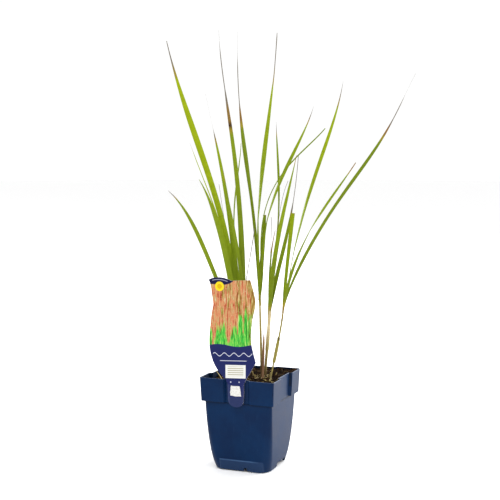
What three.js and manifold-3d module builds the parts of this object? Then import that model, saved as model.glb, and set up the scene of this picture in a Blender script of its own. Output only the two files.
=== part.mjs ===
// Feather reed grass, five young shoots in a square nursery pot with a clip-on plant label.
// Millimetres, +Z up. The origin is the middle of the pot's base; the labelled side faces -Y.
import * as THREE from 'three';
import { mergeVertices } from 'three/addons/utils/BufferGeometryUtils.js';
import Module from 'manifold-3d';

const wasm = await Module();
wasm.setup();

const { clamp, degToRad, lerp } = THREE.MathUtils;

// ---------------------------------------------------------------- driving dimensions

const GAP = 0.3;              // clearance between pieces that touch

const POT = {
  height: 110,
  baseWidth: 69.4,            // across the flats at the foot
  bulge: 12,                  // the width gained in the rounded lower part
  bulgeHeight: 26,            // how quickly it is gained
  flare: 0.0325,                // and how the straight upper part still widens, mm per mm
  baseRadius: 14,
  rimRadius: 2.5,
  wall: 1.2,
  underInset: 1.6,            // from the sides to the hollow under the floor
  collarBottom: 82,
  collarWidth: 89.8,          // at its lower edge
  rimWidth: 92.3,
  frontRecess: 28,            // plain stretch between the collar corners, in the front and the back
  sideRecess: 36,             // and in the two sides
  floorUnder: 6.2,
  floorTop: 7.6,
  padRadius: 11,
  footPanelFrom: -24,         // along the front
  footPanelTo: 30,
  footPanelHeight: 13,
  footPanelProud: 0.9,
  drainRadius: 4,
  drainOffset: 19,
  notchWidth: 4.4,
  notchHeight: 4.6,
  notchOffset: 7.6,
  liftedFrom: -24,            // the front and back edges stand a little off the ground here
  liftedTo: 15.5,
  liftedHeight: 0.9,
  archFrom: -4,               // the two side edges have one wide low arch
  archTo: 26,
  archHeight: 5.6,
  footCutIn: 4,               // how far inside and outside the foot's flats these cuts reach
  footCutOut: 3,
};

const SOIL = { meanTop: 104, tiltX: 0.02, tiltY: 0.085, bump: 0.7, cells: 13 };

const LABEL = {
  thickness: 0.8,
  front: -44.1,               // y of the printed face
  clipCentre: -1.6,
  clipWidth: 16,
  clipBottom: 96,
  clipInner: -39.8,           // y of the clip's inner face, inside the pot
  rimGap: 0.3,
};

const BLADE = {
  thickness: 0.7,
  keel: 0.16,                 // depth of the gutter, as a share of the half width
  steps: 15,
  taper: 6,                   // how late and how suddenly a blade narrows to its tip
  thread: 0.9,                // width of a dry tip
  below: 10,                  // how far under its shoot's top a blade leaves, unless it says otherwise
};
const STEM = { sides: 8, greenLength: 17, collarRadius: 0.9, rootZ: 88, rings: 6, sheathTop: 0.8 };
const DRY_SIDES = 6;

// ---------------------------------------------------------------- the plant's measures
// Turns are compass degrees, counter-clockwise from +X; leans are degrees from upright, from the
// start to the end. A blade's face is the compass direction that it looks to, at its foot and tip.

const SHOOTS = {
  a: { foot: [-14.7, -7.3], turn: 19, leans: [0.5, -1], long: 71, radii: [2, 1.6] },
  f: { foot: [-5.7, -4.3], turn: 201, leans: [2, 4], long: 71, radii: [2, 1.6] },
  b: { foot: [12.3, 6.7], turn: 202, leans: [1.9, 1.4], long: 116, radii: [1.8, 1.1] },
  c: {
    foot: [12.7, 10.1], turn: 20, leans: [4.4, 4.9, 3.6], long: 96, radii: [1.3, 1.9],
    sheath: { from: 0.5, to: 0.8, radius: 2.3 }, collar: 1.7,
  },
  d: {
    foot: [26.3, -10.6], turn: 20, leans: [6, 16, 11, 5.5], long: 108, radii: [1.2, 1.1],
    sheath: { from: 0.27, to: 0.6, radius: 1.8 },
  },
};

// turn is a blade's heading, and swing what it adds to that by the tip. wide is its width at even
// steps up to where its green part ends, and green that point's share of the length: the tip beyond
// it is a dry thread. below is how far under the shoot's top it leaves. A cut blade ends square.
const BLADES = {
  a: [
    {
      turn: 162, leans: [-1.7, 12.2, 29.7, 25.4, 15.4], long: 369, swing: 8,
      wide: [3.5, 6.5, 7, 7.6, 2], face: [317, 280],
    },
    {
      turn: 237, leans: [0.7, 18.8, 11.1, 41.2], long: 202, swing: 18, below: 7,
      wide: [4, 6.5, 7, 6.8, 4], face: [115, 80],
    },
    {
      turn: 137, leans: [-3.1, 8, 18.3, 32.4, 25.7], long: 310, swing: 2, below: 14,
      wide: [3.5, 5.5, 5.6, 5, 5], green: 0.86, face: [300, 290],
    },
    {
      turn: 217, leans: [8.1, 36.3, 5.6, 54], long: 207, swing: 25, below: 14,
      wide: [2.8, 4.6, 5, 4.9, 2.2], face: [95, 130],
    },
    {
      turn: 222, leans: [1.9, 3.5, 30.8, 18.9], long: 238, swing: -2, below: 6,
      wide: [1.8, 2.4, 2.2, 1.3, 0.9], face: [80, 112],
    },
  ],
  f: [
    {
      turn: 267, leans: [-11.6, 19.1, 24.9, 12.3], long: 208, swing: -12, below: 7,
      wide: [3.6, 4.7, 4.2, 3.8, 2.8], green: 0.95, face: [85, 120],
    },
    {
      turn: 282, leans: [-6.5, 9.2, 6.4, 33.1, 2.6], long: 367, swing: -26, below: 12,
      wide: [5.5, 7.6, 6, 5.4, 6.4], green: 0.82, face: [110, 125],
    },
    {
      turn: 187, leans: [-6.2, 16.2, 16.3, -23.2, -1.7], long: 229, swing: 17, below: 6,
      wide: [2.6, 3.4, 3, 2.4, 2], green: 0.62, face: [230, 320],
    },
    {
      turn: 42, leans: [1.2, 1.6, 18.3, 6.4], long: 130, below: 7,
      wide: [1.4, 1.2, 1.1, 1, 0.8], face: [250, 292],
    },
    {
      turn: 142, leans: [11.6, 17.4, 21.9, 13.1], long: 189, swing: 4,
      wide: [1.8, 1.6, 1.4, 1.2, 0.8], face: [292, 292],
    },
  ],
  b: [
    {
      turn: 137, leans: [6.3, 5.4, 46, 33.3, -14.4], long: 341, swing: -17, below: 14,
      wide: [4, 3.8, 3.6, 6, 5.5], green: 0.74, face: [310, 290],
    },
    {
      turn: 322, leans: [-6.4, -14.3, 41.1, 32.1, 17.8], long: 323, swing: -23, below: 7,
      wide: [4, 5.4, 6.4, 5.2, 6.5], green: 0.86, face: [109, -191],
    },
    {
      turn: 82, leans: [4.9, 7.7, 10.6, 3.8], long: 101, below: 8,
      wide: [4.6, 5.4, 5.2, 4.8, 3.8], cut: true, face: [270, 275],
    },
    {
      turn: 52, leans: [6, -11.1, 31.8, 37.6, 16.4], long: 238, swing: -26, below: 6,
      wide: [3.6, 4.6, 4.8, 4.4, 2.6], face: [117, -133],
    },
    {
      turn: 12, leans: [8.2, -17.6, 3.7, 67.8, 40], long: 229, swing: 4,
      wide: [1.5, 1.8, 1.7, 1.6, 1.2], face: [112, 112],
    },
  ],
  c: [
    {
      turn: 322, leans: [0.7, -4.2, 7.4, 19.5], long: 107, swing: 9,
      wide: [3.6, 3.4, 2.6, 1.9, 1.2], face: [80, 112],
    },
    {
      turn: 87, leans: [4.6, 29.3, -1.3, -10, -1.8], long: 230, swing: -26, below: 6,
      wide: [5, 4.6, 1.7, 3.2, 2.4], face: [275, 285],
    },
    {
      turn: 312, leans: [5.7, 18.1, 35.1, 24.7], long: 213, swing: 4, below: 12,
      wide: [4.6, 5.8, 4.9, 3.8, 2], face: [125, 100],
    },
    {
      turn: 62, leans: [9.2, 26.6, 8.5, 4.3], long: 193, swing: -18, below: 7,
      wide: [4.4, 5.1, 5, 4.2, 3.2], green: 0.72, face: [262, 290],
    },
    {
      turn: 67, leans: [-3, 28, -14, 34], long: 162, below: 6,
      wide: [1.4, 1.3, 1.2, 1.1, 1], face: [292, 292],
    },
    {
      turn: 322, leans: [-1, -3, 14, -3], long: 117, below: 6,
      wide: [1.4, 1.3, 1.2, 1.1, 1], face: [292, 292],
    },
  ],
  d: [
    {
      turn: 97, leans: [17.8, 17, 19.8, 13.5], long: 119, swing: -12,
      wide: [3.4, 3.8, 4.1, 4.6, 4.6], cut: true, face: [285, 300],
    },
    {
      turn: 67, leans: [13.7, 9.4, 28.1, 32.5, 10.3], long: 284, swing: -14,
      wide: [4.2, 4.8, 4.9, 4.5, 2.6], face: [58, -112],
    },
    {
      turn: 332, leans: [10, 22.2, 46.9, 34], long: 208, swing: 25, below: 14,
      wide: [3.6, 3.8, 3.4, 3.6, 2.6], face: [166, -134],
    },
    {
      turn: 12, leans: [10.8, 44.9, 3.1, 80.3, 6.7, 30.8], long: 314, swing: -20, below: 7,
      wide: [3.4, 4, 3.5, 4.3, 4.4], green: 0.82, face: [130, 90],
    },
  ],
};

// Dry bits beside the shoots: cut stubs, pointed dead bracts and loose straws.
const DRY = {
  dry_bract: { foot: [14.3, 1.7], z: 92, turn: 22, leans: [2, 1], long: 69, radii: [1.3, 0.6] },
  cut_stub_1: { foot: [3.3, 8.7], z: 94, turn: 160, leans: [18, 24], long: 17, radii: [1.1, 0.8] },
  cut_stub_2: { foot: [7.3, 1.7], z: 94, turn: 200, leans: [8, 12], long: 14, radii: [1.2, 0.9] },
  cut_stub_3: { foot: [20.3, 2.7], z: 94, turn: 330, leans: [14, 22], long: 19, radii: [1.1, 0.8] },
  cut_stub_4: { foot: [22.3, 13.7], z: 95, turn: 40, leans: [16, 30], long: 15, radii: [1, 0.7] },
  cut_stub_5: { foot: [29.3, -2.3], z: 94, turn: 10, leans: [22, 34], long: 14, radii: [1, 0.7] },
  cut_stub_6: { foot: [-9.7, 2.7], z: 94, turn: 110, leans: [10, 20], long: 16, radii: [1.2, 0.9] },
  loose_straw: { foot: [-21.7, -22.3], z: 99, turn: 143, leans: [52, 66], long: 26, radii: [0.7, 0.5] },
};

const COLOURS = {
  pot: { color: 0x1a2f52, roughness: 0.5 },
  soil: { color: 0x2e1f12, roughness: 0.95 },
  label: { color: 0x27305f, roughness: 0.4 },
  straw: { color: 0xa88a55, roughness: 0.7 },
  green: { color: 0x7c9a12, roughness: 0.55 },
  bract: { color: 0x8a5230, roughness: 0.8 },
};

// ---------------------------------------------------------------- solids from geometry

/** A closed three.js geometry as a manifold solid. */
function solid(geometry) {
  for (const name of ['normal', 'uv']) geometry.deleteAttribute(name);
  const merged = mergeVertices(geometry, 1e-4);
  return new wasm.Manifold(new wasm.Mesh({
    numProp: 3,
    vertProperties: Float32Array.from(merged.attributes.position.array),
    triVerts: Uint32Array.from(merged.index.array),
  }));
}

/** A manifold solid as a three.js geometry. */
function geometryOf(manifold) {
  const mesh = manifold.getMesh();
  const geometry = new THREE.BufferGeometry();
  geometry.setAttribute('position', new THREE.BufferAttribute(Float32Array.from(mesh.vertProperties), 3));
  geometry.setIndex(new THREE.BufferAttribute(Uint32Array.from(mesh.triVerts), 1));
  geometry.computeVertexNormals();
  return geometry;
}

const union = (solids) => solids.reduce((all, next) => all.add(next));

/** A block from its lowest to its highest corner. */
function block(low, high) {
  const size = high.map((value, axis) => value - low[axis]);
  const middle = high.map((value, axis) => (value + low[axis]) / 2);
  return solid(new THREE.BoxGeometry(...size).translate(...middle));
}

/** An upright cylinder. */
function upright(radius, x, y, low, high, sides = 16) {
  const cylinder = new THREE.CylinderGeometry(radius, radius, high - low, sides);
  return solid(cylinder.rotateX(Math.PI / 2).translate(x, y, (low + high) / 2));
}

/** Triangles of one quad of a loft; alike splits the quad along its other diagonal. */
function quad(a, b, c, d, alike) {
  return alike ? [a, b, d, b, c, d] : [a, b, c, a, c, d];
}

/** A solid through rings of equally many points; mirrored(j) names columns split the other way. */
function loft(rings, { fanFrom = 0, mirrored = () => false } = {}) {
  const count = rings[0].length;
  const positions = rings.flat().flatMap((point) => point.toArray());
  const index = [];
  for (let i = 0; i + 1 < rings.length; i += 1) {
    for (let j = 0; j < count; j += 1) {
      const k = (j + 1) % count;
      const low = i * count;
      const high = low + count;
      index.push(...quad(low + j, low + k, high + k, high + j, mirrored(j)));
    }
  }
  const last = (rings.length - 1) * count;
  for (let j = 1; j + 1 < count; j += 1) {
    const [p, q, r] = [0, j, j + 1].map((step) => (fanFrom + step) % count);
    index.push(p, r, q, last + p, last + q, last + r);
  }
  const geometry = new THREE.BufferGeometry();
  geometry.setAttribute('position', new THREE.Float32BufferAttribute(positions, 3));
  geometry.setIndex(index);
  return solid(geometry);
}

// ---------------------------------------------------------------- pot

const bodyHalf = (z) => {
  const gained = POT.bulge * (1 - Math.exp(-z / POT.bulgeHeight));
  return (POT.baseWidth + gained + POT.flare * z) / 2;
};
const bodyRadius = (z) => lerp(POT.rimRadius, POT.baseRadius, Math.max(0, 1 - z / POT.height) ** 1.5);
const collarHalf = (z) => {
  const rise = (z - POT.collarBottom) / (POT.height - POT.collarBottom);
  return lerp(POT.collarWidth, POT.rimWidth, rise) / 2;
};

/** Points of a level square with round corners. */
function roundSquare(half, radius, z, perCorner = 5) {
  const points = [];
  for (let corner = 0; corner < 4; corner += 1) {
    const [sx, sy] = [[1, 1], [-1, 1], [-1, -1], [1, -1]][corner];
    for (let step = 0; step < perCorner; step += 1) {
      const turn = (corner + step / (perCorner - 1)) * Math.PI / 2;
      const centre = half - radius;
      points.push(new THREE.Vector3(
        sx * centre + radius * Math.cos(turn), sy * centre + radius * Math.sin(turn), z,
      ));
    }
  }
  return points;
}

/** The pot's body as a solid between two heights, its sides moved in by inset. */
function bodyLoft(low, high, inset) {
  const between = [10, 22, 38, 56, 76].filter((z) => z > low + 2 && z < high - 2);
  const levels = [low, ...between, high];
  return loft(levels.map((z) => roundSquare(bodyHalf(z) - inset, bodyRadius(z) - inset, z)));
}

/** The four collar corners as one solid, from low upward, their sides moved in by inset. */
function collarCorners(low, high, inset) {
  const whole = loft([low, high].map((z) => roundSquare(collarHalf(z) - inset, POT.rimRadius - inset, z)));
  const reach = POT.rimWidth;
  const sideHalf = POT.sideRecess / 2 + inset;
  const frontHalf = POT.frontRecess / 2 + inset;
  const alongX = block([-reach, -sideHalf, low - 1], [reach, sideHalf, high + 1]);
  const alongY = block([-frontHalf, -reach, low - 1], [frontHalf, reach, high + 1]);
  return whole.subtract(alongX).subtract(alongY);
}

/** What the pot holds: the room inside its walls, its sides moved in by a further gap. */
function potRoom(low, high, gap) {
  const inset = POT.wall + gap;
  const collar = collarCorners(POT.collarBottom + inset, high, inset);
  return bodyLoft(low, high, inset).add(collar);
}

/** The low panels that stand proud at the foot of the front and the back. */
function footPanels() {
  const proud = loft([0, POT.footPanelHeight].map(
    (z) => roundSquare(bodyHalf(z) + POT.footPanelProud, bodyRadius(z) + POT.footPanelProud, z),
  ));
  const front = block(
    [POT.footPanelFrom, -POT.baseWidth, -1],
    [POT.footPanelTo, 0, POT.footPanelHeight + 1],
  );
  return proud.intersect(front.add(front.rotate([0, 0, 180])));
}

/** What is cut from the foot of one pair of facing sides: notch and lifted stretch, or the wide arch. */
function footCuts() {
  const outer = POT.baseWidth / 2 + POT.footCutOut;
  const inner = POT.baseWidth / 2 - POT.footCutIn;
  const front = [
    block(
      [POT.notchOffset - POT.notchWidth / 2, -outer, -1],
      [POT.notchOffset + POT.notchWidth / 2, -inner, POT.notchHeight],
    ),
    block([POT.liftedFrom, -outer, -1], [POT.liftedTo, -inner, POT.liftedHeight]),
  ];
  const side = block([inner, POT.archFrom, -1], [outer, POT.archTo, POT.archHeight]);
  const half = union([...front, side]);
  return half.add(half.rotate([0, 0, 180]));
}

function makePot() {
  const outer = bodyLoft(0, POT.height, 0)
    .add(collarCorners(POT.collarBottom, POT.height, 0))
    .add(footPanels());
  const under = bodyLoft(-1, POT.floorUnder, POT.underInset)
    .subtract(upright(POT.padRadius, 0, 0, -2, POT.floorUnder + 1, 24));
  let pot = outer.subtract(potRoom(POT.floorTop, POT.height + 1, 0)).subtract(under).subtract(footCuts());
  for (const sx of [-1, 1]) {
    for (const sy of [-1, 1]) {
      const x = sx * POT.drainOffset;
      const y = sy * POT.drainOffset;
      pot = pot.subtract(upright(POT.drainRadius, x, y, 0, POT.floorTop + 1));
    }
  }
  return pot;
}

// ---------------------------------------------------------------- swept plant pieces

/** Bernstein blend of any number of values. */
function blend(values, t) {
  if (values.length === 1) return values[0];
  return blend(values.slice(1).map((value, i) => lerp(values[i], value, t)), t);
}

/** The unit vector that leans from upright towards a compass direction, both in degrees. */
function leaning(lean, turn) {
  const [tilt, round] = [degToRad(lean), degToRad(turn)];
  const flat = Math.sin(tilt);
  return new THREE.Vector3(flat * Math.cos(round), flat * Math.sin(round), Math.cos(tilt));
}

/** Points along a piece that grows from start with a given turn, swing, leans and length. */
function spine(start, { turn, swing = 0, leans, long }, steps) {
  const fine = 4;
  const points = [start.clone()];
  const at = start.clone();
  for (let i = 0; i < steps * fine; i += 1) {
    const t = (i + 0.5) / (steps * fine);
    at.addScaledVector(leaning(blend(leans, t), turn + swing * t), long / (steps * fine));
    if ((i + 1) % fine === 0) points.push(at.clone());
  }
  return points;
}

/** The direction of a line of points at each of them. */
function tangents(points) {
  return points.map((point, i) => {
    const before = points[Math.max(0, i - 1)];
    const after = points[Math.min(points.length - 1, i + 1)];
    return after.clone().sub(before).normalize();
  });
}

/** A round stalk along points; radius(t) gives its size from foot to top. */
function stalk(points, radius, sides = STEM.sides) {
  const ways = tangents(points);
  const rings = points.map((point, i) => {
    const across = new THREE.Vector3(0, 1, 0).cross(ways[i]).normalize();
    const other = ways[i].clone().cross(across);
    const size = radius(i / (points.length - 1));
    return Array.from({ length: sides }, (_, side) => {
      const turn = (side / sides) * Math.PI * 2;
      return point.clone().addScaledVector(across, size * Math.cos(turn))
        .addScaledVector(other, size * Math.sin(turn));
    });
  });
  return loft(rings);
}

/** A smooth curve through values that stand at even steps of t. */
function through(values, t) {
  const at = t * (values.length - 1);
  const i = Math.min(Math.floor(at), values.length - 2);
  const [a, b, c, d] = [i - 1, i, i + 1, i + 2].map((k) => values[clamp(k, 0, values.length - 1)]);
  const u = at - i;
  return b + u / 2 * (c - a + u * (2 * a - 5 * b + 4 * c - d + u * (3 * (b - c) + d - a)));
}

/** A blade's width at t, down to a thread where its green part ends. */
function bladeWidth({ wide, green = 1, cut }, t) {
  if (cut) return through(wide, t);
  const along = Math.min(1, t / green);
  return lerp(Math.max(BLADE.thread, through(wide, along)), BLADE.thread, along ** BLADE.taper);
}

/** One grass blade: a thin gutter with a low keel, swept along its spine. */
function blade(start, shape) {
  const points = spine(start, shape, BLADE.steps);
  const ways = tangents(points);
  const rings = points.map((point, i) => {
    const t = i / BLADE.steps;
    const face = degToRad(lerp(shape.face[0], shape.face[1], t));
    const looks = new THREE.Vector3(Math.cos(face), Math.sin(face), 0);
    const across = ways[i].clone().cross(looks).normalize();
    const out = across.clone().cross(ways[i]);
    const half = bladeWidth(shape, t) / 2;
    const dip = half * BLADE.keel;
    const [top, back] = [BLADE.thickness / 2, -BLADE.thickness / 2];
    const section = [
      [-half, top + dip], [0, top - dip], [half, top + dip],
      [half, back + dip], [0, back - dip], [-half, back + dip],
    ];
    return section.map(([w, n]) => point.clone().addScaledVector(across, w).addScaledVector(out, n));
  });
  return loft(rings, { fanFrom: 1, mirrored: (j) => j >= 3 });
}

// ---------------------------------------------------------------- shoots

/** A shoot's stem line, from its root in the soil to its top, one point for each millimetre or so. */
function stemLine({ foot, z = STEM.rootZ, ...shape }) {
  return spine(new THREE.Vector3(foot[0], foot[1], z), shape, Math.round(shape.long));
}

/** The part of a line between two shares of its length, in a given number of rings. */
function stretch(line, from, to, rings) {
  return Array.from({ length: rings }, (_, i) => {
    const at = lerp(from, to, i / (rings - 1)) * (line.length - 1);
    const low = Math.min(Math.floor(at), line.length - 2);
    return line[low].clone().lerp(line[low + 1], at - low);
  });
}

/** The same stalk, or with grow the hole for it: wider all round and that much deeper. */
function stalkOrHole(points, radii, grow, sides) {
  const way = points[1].clone().sub(points[0]).normalize();
  points[0].addScaledVector(way, -grow);
  return stalk(points, (t) => lerp(radii[0], radii[1], t) + grow, sides);
}

/** The straw-coloured lower stem, up to where the green sheath begins, with any dry sheath round it. */
function lowerStem(shoot, grow = 0) {
  const top = 1 - STEM.greenLength / shoot.long;
  const line = stemLine(shoot);
  const stem = stalkOrHole(stretch(line, 0, top, STEM.rings), shoot.radii, grow, STEM.sides);
  if (!shoot.sheath) return stem;
  const { from, to, radius } = shoot.sheath;
  const radii = [radius, radius * STEM.sheathTop];
  return stem.add(stalkOrHole(stretch(line, from, to, STEM.rings), radii, grow, STEM.sides));
}

/** The green sheath at the top of a shoot with all the blades that leave it. */
function foliage(name) {
  const shoot = SHOOTS[name];
  const line = stemLine(shoot);
  const from = 1 - (STEM.greenLength - GAP) / shoot.long;
  const collar = shoot.collar ?? STEM.collarRadius;
  const sheath = stalk(stretch(line, from, 1, 4), (t) => lerp(shoot.radii[1], collar, t));
  const blades = BLADES[name].map((shape) => {
    const [start] = stretch(line, 1 - (shape.below ?? BLADE.below) / shoot.long, 1, 2);
    return blade(start, shape);
  });
  return union([sheath, ...blades]);
}

/** A dry stub, bract or straw. */
function dryStalk(shape, grow = 0) {
  return stalkOrHole(stretch(stemLine(shape), 0, 1, 4), shape.radii, grow, DRY_SIDES);
}

// ---------------------------------------------------------------- soil

/** Height of the soil: highest at the back, uneven all over. */
function soilTop(x, y) {
  const uneven = Math.sin(x * 0.31 + 1.3) * Math.cos(y * 0.27) + 0.6 * Math.sin(x * 0.11 - y * 0.63);
  return SOIL.meanTop + SOIL.tiltX * x + SOIL.tiltY * y + SOIL.bump * uneven;
}

function makeSoil() {
  const low = POT.floorTop + GAP;
  const span = POT.rimWidth;
  const geometry = new THREE.BoxGeometry(span, span, SOIL.meanTop, SOIL.cells, SOIL.cells, 1);
  geometry.translate(0, 0, SOIL.meanTop / 2 + low);
  const position = geometry.attributes.position;
  for (let i = 0; i < position.count; i += 1) {
    if (position.getZ(i) > SOIL.meanTop / 2) {
      position.setZ(i, soilTop(position.getX(i), position.getY(i)));
    }
  }
  let soil = potRoom(low, POT.height, GAP).intersect(solid(geometry));
  for (const shoot of Object.values(SHOOTS)) soil = soil.subtract(lowerStem(shoot, GAP));
  for (const shape of Object.values(DRY)) soil = soil.subtract(dryStalk(shape, GAP));
  return soil.subtract(clipSlot());
}

/** The slit in the soil that the label's clip stands in. */
function clipSlot() {
  const half = LABEL.clipWidth / 2 + GAP;
  return block(
    [LABEL.clipCentre - half, -POT.rimWidth / 2, LABEL.clipBottom - GAP],
    [LABEL.clipCentre + half, LABEL.clipInner + GAP, POT.height],
  );
}

// ---------------------------------------------------------------- plant label

/** The label's outline as seen from the front: x across, y for the height. */
function labelOutline() {
  const outline = new THREE.Shape();
  const through = (...points) => outline.splineThru(points.map(([x, z]) => new THREE.Vector2(x, z)));
  outline.moveTo(-11.4, 106.4);
  outline.lineTo(-12.4, 106.6);
  outline.lineTo(-13.6, 110.4);
  through([-17.9, 113.4], [-28.5, 127.8], [-33.9, 149.4], [-31.7, 180.1], [-28.8, 197]);
  through([-32.1, 218.5], [-34.8, 225]);
  outline.quadraticCurveTo(-21.2, 231.6, -6.5, 224.8);
  outline.lineTo(17.1, 226.8);
  through([23.4, 201.9], [19.3, 178.6], [18.2, 155], [23.9, 131.6]);
  outline.lineTo(11.7, 110.9);
  outline.lineTo(10, 107.2);
  outline.lineTo(9.4, 106.9);
  outline.lineTo(8.9, 86);
  outline.bezierCurveTo(7.9, 75, -9.5, 75, -10.7, 86);
  outline.closePath();
  return outline;
}

function makeLabel() {
  const sheet = new THREE.ExtrudeGeometry(labelOutline(), {
    depth: LABEL.thickness, bevelEnabled: false, curveSegments: 4,
  });
  sheet.rotateX(Math.PI / 2).translate(0, LABEL.front + LABEL.thickness, 0);
  const half = LABEL.clipWidth / 2;
  const rim = POT.height + LABEL.rimGap;
  const [left, right] = [LABEL.clipCentre - half, LABEL.clipCentre + half];
  const bridge = block([left, LABEL.front, rim], [right, LABEL.clipInner, rim + LABEL.thickness]);
  const tab = block(
    [left, LABEL.clipInner - LABEL.thickness, LABEL.clipBottom],
    [right, LABEL.clipInner, rim + LABEL.thickness],
  );
  return union([solid(sheet), bridge, tab]);
}

// ---------------------------------------------------------------- the whole

const part = new THREE.Group();

function place(name, manifold, look) {
  const material = new THREE.MeshStandardMaterial({ metalness: 0, ...look });
  const mesh = new THREE.Mesh(geometryOf(manifold), material);
  mesh.name = name;
  part.add(mesh);
}

place('pot', makePot(), COLOURS.pot);
place('soil', makeSoil(), COLOURS.soil);
place('plant_label', makeLabel(), COLOURS.label);
for (const [name, shoot] of Object.entries(SHOOTS)) {
  place(`shoot_${name}_stem`, lowerStem(shoot), COLOURS.straw);
  place(`shoot_${name}_blades`, foliage(name), COLOURS.green);
}
for (const [name, shape] of Object.entries(DRY)) {
  place(name, dryStalk(shape), name === 'dry_bract' ? COLOURS.bract : COLOURS.straw);
}

export default part;
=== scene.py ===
"""Feather reed grass, five young shoots in a square nursery pot with a clip-on plant label.

Metres in Blender; the shapes below are worked out in millimetres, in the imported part's frame:
the origin is the middle of the pot's base, +Z is up and the labelled side faces -Y.
"""
import random
from math import copysign, cos, exp, pi, radians, sin

import bmesh
import bpy
from mathutils import Matrix, Vector, noise


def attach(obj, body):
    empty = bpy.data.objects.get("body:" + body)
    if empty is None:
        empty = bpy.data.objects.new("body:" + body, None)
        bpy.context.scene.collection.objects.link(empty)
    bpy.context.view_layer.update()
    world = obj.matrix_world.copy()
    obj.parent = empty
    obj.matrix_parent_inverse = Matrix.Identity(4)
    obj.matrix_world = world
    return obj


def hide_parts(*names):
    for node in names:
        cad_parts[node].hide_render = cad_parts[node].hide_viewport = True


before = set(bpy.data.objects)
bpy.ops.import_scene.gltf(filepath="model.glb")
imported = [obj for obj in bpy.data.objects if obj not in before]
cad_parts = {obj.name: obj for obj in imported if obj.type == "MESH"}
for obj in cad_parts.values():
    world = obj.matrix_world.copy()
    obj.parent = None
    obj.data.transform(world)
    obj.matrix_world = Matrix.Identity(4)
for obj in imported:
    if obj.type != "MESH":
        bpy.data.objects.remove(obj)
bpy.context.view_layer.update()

MM = 0.001
BODY = "root"
FULL = 2 * pi
WELD = 2e-6  # corners closer than this, in metres, become one


# ---------------- small maths

def mix(a, b, share):
    return a + (b - a) * share


def clamp(value, low=0.0, high=1.0):
    return min(high, max(low, value))


def ramp(low, high, value):
    """0 below low, 1 above high, smooth between them."""
    share = clamp((value - low) / (high - low))
    return share * share * (3 - 2 * share)


def through(values, t):
    """A smooth curve through values that stand at even steps of t."""
    at = clamp(t) * (len(values) - 1)
    i = min(int(at), len(values) - 2)
    a, b, c, d = (values[clamp(k, 0, len(values) - 1)] for k in (i - 1, i, i + 1, i + 2))
    u = at - i
    return b + u / 2 * (c - a + u * (2 * a - 5 * b + 4 * c - d + u * (3 * (b - c) + d - a)))


def blend(values, t):
    """Bernstein blend of any number of values."""
    values = list(values)
    while len(values) > 1:
        values = [mix(a, b, t) for a, b in zip(values, values[1:])]
    return values[0]


def leaning(lean, turn):
    """The unit vector that leans from upright towards a compass direction, both in degrees."""
    tilt, around = radians(lean), radians(turn)
    flat = sin(tilt)
    return Vector((flat * cos(around), flat * sin(around), cos(tilt)))


class Path:
    """A growing line: points at even steps, and its place and direction at any share of its length."""

    def __init__(self, start, turn, leans, long, swing=0, steps=160):
        at = Vector(start)
        self.points = [at.copy()]
        for i in range(steps):
            t = (i + 0.5) / steps
            at = at + leaning(blend(leans, t), turn + swing * t) * (long / steps)
            self.points.append(at.copy())

    def at(self, t):
        where = clamp(t) * (len(self.points) - 1)
        i = min(int(where), len(self.points) - 2)
        return self.points[i].lerp(self.points[i + 1], where - i)

    def way(self, t):
        return (self.at(min(1, t + 0.01)) - self.at(max(0, t - 0.01))).normalized()


# ---------------- making pieces

def skin(bm, around, along, place, marks=None):
    """A grid of around by along cells laid on place(u, v), in millimetres, and welded shut.

    marks(u, v) gives the values of the piece's named layers at each corner.
    """
    bm.loops.layers.uv.verify()
    made = bmesh.ops.create_grid(
        bm, x_segments=around, y_segments=along, size=0.5, calc_uvs=True)["verts"]
    for vert in made:
        u, v = vert.co.x + 0.5, vert.co.y + 0.5
        if marks:
            for layer, value in marks(u, v).items():
                vert[bm.verts.layers.float[layer]] = value
        vert.co = place(u % 1.0, v) * MM
    bmesh.ops.remove_doubles(bm, verts=made, dist=WELD)


def plate(bm, outline, front, thick):
    """A flat solid with this outline in x and z, from y = front backwards; gives its corners."""
    near = [bm.verts.new(Vector((x, front, z)) * MM) for x, z in outline]
    grown = bmesh.ops.extrude_face_region(bm, geom=[bm.faces.new(near)])["geom"]
    far = [g for g in grown if isinstance(g, bmesh.types.BMVert)]
    bmesh.ops.translate(bm, verts=far, vec=(0, thick * MM, 0))
    return near + far


def quarters(count):
    """A turn by count right angles about the pot's middle."""
    return Matrix.Rotation(count * pi / 2, 3, "Z")


def new_mesh(*layers):
    bm = bmesh.new()
    for layer in layers:
        bm.verts.layers.float.new(layer)
    return bm


def to_object(name, bm):
    """An object in the scene with the bmesh's shape; the bmesh is used up."""
    mesh = bpy.data.meshes.new(name)
    bm.to_mesh(mesh)
    bm.free()
    made = bpy.data.objects.new(name, mesh)
    bpy.context.scene.collection.objects.link(made)
    return made


def finish_piece(name, bm, material, replaces=(), crease=40):
    """Puts a bmesh into the scene as one piece of the object."""
    bmesh.ops.recalc_face_normals(bm, faces=bm.faces)
    piece = to_object(name, bm)
    piece.data.shade_smooth()
    piece.data.set_sharp_from_angle(angle=radians(crease))
    piece.data.materials.append(material)
    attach(piece, BODY)
    if replaces:
        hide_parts(*replaces)
    return piece


def combine(bm, tool, operation):
    """bm cut by or kept inside the shape of another bmesh; both are used up."""
    for source in (bm, tool):
        bmesh.ops.recalc_face_normals(source, faces=source.faces)
    body, cutter = (to_object("shaping", source) for source in (bm, tool))
    modifier = body.modifiers.new("shaping", "BOOLEAN")
    modifier.operation = operation
    modifier.solver = "EXACT"
    modifier.object = cutter
    graph = bpy.context.evaluated_depsgraph_get()
    result = bmesh.new()
    result.from_mesh(body.evaluated_get(graph).to_mesh())
    for used in (body, cutter):
        mesh = used.data
        bpy.data.objects.remove(used)
        bpy.data.meshes.remove(mesh)
    return result


# ---------------- material maths

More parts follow.
